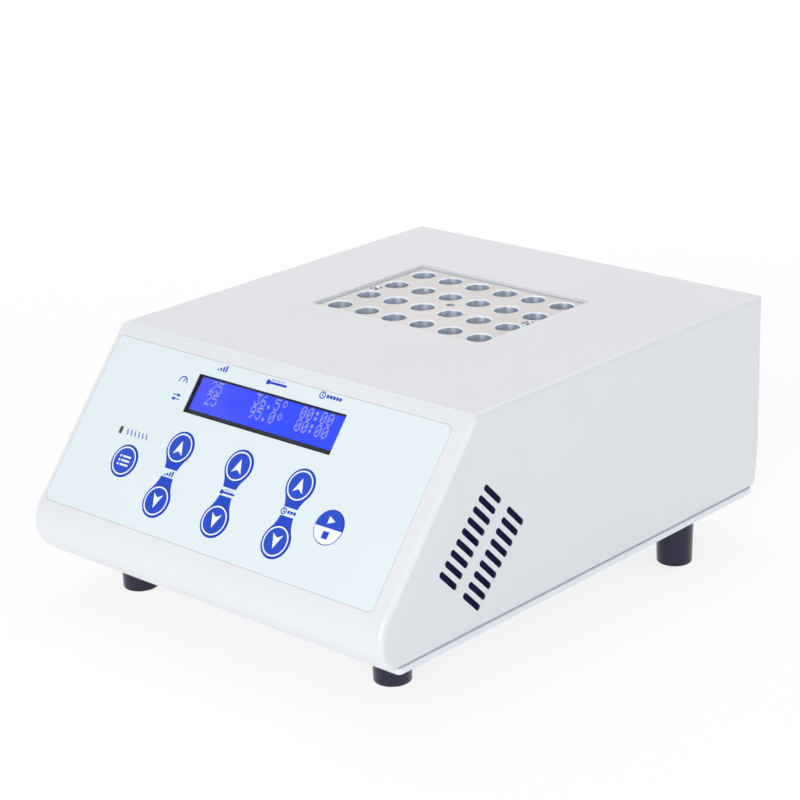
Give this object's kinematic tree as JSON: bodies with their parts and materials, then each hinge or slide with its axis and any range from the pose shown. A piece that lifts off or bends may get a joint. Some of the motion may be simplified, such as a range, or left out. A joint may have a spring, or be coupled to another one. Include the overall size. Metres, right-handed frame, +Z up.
{
  "type": "dry bath incubator",
  "caption": "Benchtop dry bath with a slanted key panel and display, a lift-out drilled metal block, side vents, rubber feet and a rear mains inlet.",
  "frame": {"origin": "on the table under the middle of the machine's overall box", "axes": "+Z up, -Y towards the slanted panel and the user, +X to the user's right"},
  "size_m": [0.21, 0.2682, 0.1145],
  "materials": {
    "cover_white": "fine satin",
    "base_white": "smooth paint",
    "foot_black": "satin",
    "steel": "zinc plated",
    "film_white": "fine matt",
    "key_blue": "satin",
    "window_clear": "polished",
    "display_blue": "lit from behind",
    "light_guide": "translucent",
    "bezel_black": "satin",
    "board_green": "solder mask",
    "spacer_white": "nylon",
    "part_black": "moulded",
    "lamp_red": "clear red",
    "block_metal": "fine blasted",
    "plate_metal": "milled",
    "mat_orange": "silicone",
    "insulation": "rigid foam",
    "sheet_steel": "zinc plated",
    "post_metal": "plain",
    "core_iron": "varnished",
    "coil_tape": "tape",
    "fuse_glass": "clear",
    "ribbon_grey": "flexible"
  },
  "bodies": {
    "case": {"housing_cover": "cover_white", "base_plate": "base_white", "foot_front_left": "foot_black", "foot_front_right": "foot_black", "foot_rear_left": "foot_black", "foot_rear_right": "foot_black", "foot_screws": "steel", "foot_nuts": "steel", "cover_screws": "steel", "front_film": "film_white", "display_window": "window_clear", "display_bezel": "bezel_black", "display_glass": "display_blue", "display_backlight": "light_guide", "display_board": "board_green", "display_spacers": "spacer_white", "control_board": "board_green", "control_board_screws": "steel", "snap_switches": "part_black", "control_chips": "part_black", "heating_lamp": "lamp_red", "heater_plate": "plate_metal", "heater_mat": "mat_orange", "heater_clamp": "plate_metal", "heater_screws": "steel", "insulation_tray": "insulation", "carrier_plate": "sheet_steel", "support_posts": "post_metal", "post_screws": "steel", "thermal_cutoff": "part_black", "temperature_sensor": "steel", "power_inlet": "part_black", "inlet_pins": "steel", "inlet_screws": "steel", "power_switch": "part_black", "power_board": "board_green", "power_board_standoffs": "post_metal", "power_board_screws": "steel", "transformer_core": "core_iron", "transformer_coil": "coil_tape", "heatsink": "plate_metal", "board_parts": "part_black", "ribbon_cable": "ribbon_grey", "cable_headers": "part_black"},
    "sample_block": {"sample_block": "block_metal", "block_screws": "steel"},
    "fuse_drawer": {"fuse_drawer": "part_black", "fuse": "fuse_glass"},
    "switch_rocker": {"switch_rocker": "part_black"},
    "key_program": {"key_program": "key_blue"},
    "key_start_stop": {"key_start_stop": "key_blue"},
    "key_segment_up": {"key_segment_up": "key_blue"},
    "key_segment_down": {"key_segment_down": "key_blue"},
    "key_temperature_up": {"key_temperature_up": "key_blue"},
    "key_temperature_down": {"key_temperature_down": "key_blue"},
    "key_time_up": {"key_time_up": "key_blue"},
    "key_time_down": {"key_time_down": "key_blue"}
  },
  "joints": [
    {"name": "block_lift", "type": "slide", "parent": "case", "child": "sample_block", "axis": [0, 0, 1], "range_m": [0, 0.055]},
    {"name": "fuse_drawer_slide", "type": "slide", "parent": "case", "child": "fuse_drawer", "axis": [0, 1, 0], "range_m": [0, 0.022]},
    {"name": "power_rocker", "type": "hinge", "parent": "case", "child": "switch_rocker", "pos_m": [-0.018, 0.12838, 0.058], "axis": [1, 0, 0], "range_deg": [0, 24]},
    {"name": "key_program_press", "type": "slide", "parent": "case", "child": "key_program", "axis": [0, 0.7771, -0.6293], "range_m": [0, 0.00035], "stiffness_N_per_m": 2500},
    {"name": "key_start_stop_press", "type": "slide", "parent": "case", "child": "key_start_stop", "axis": [0, 0.7771, -0.6293], "range_m": [0, 0.00035], "stiffness_N_per_m": 2500},
    {"name": "key_segment_up_press", "type": "slide", "parent": "case", "child": "key_segment_up", "axis": [0, 0.7771, -0.6293], "range_m": [0, 0.00035], "stiffness_N_per_m": 2500},
    {"name": "key_segment_down_press", "type": "slide", "parent": "case", "child": "key_segment_down", "axis": [0, 0.7771, -0.6293], "range_m": [0, 0.00035], "stiffness_N_per_m": 2500},
    {"name": "key_temperature_up_press", "type": "slide", "parent": "case", "child": "key_temperature_up", "axis": [0, 0.7771, -0.6293], "range_m": [0, 0.00035], "stiffness_N_per_m": 2500},
    {"name": "key_temperature_down_press", "type": "slide", "parent": "case", "child": "key_temperature_down", "axis": [0, 0.7771, -0.6293], "range_m": [0, 0.00035], "stiffness_N_per_m": 2500},
    {"name": "key_time_up_press", "type": "slide", "parent": "case", "child": "key_time_up", "axis": [0, 0.7771, -0.6293], "range_m": [0, 0.00035], "stiffness_N_per_m": 2500},
    {"name": "key_time_down_press", "type": "slide", "parent": "case", "child": "key_time_down", "axis": [0, 0.7771, -0.6293], "range_m": [0, 0.00035], "stiffness_N_per_m": 2500}
  ]
}
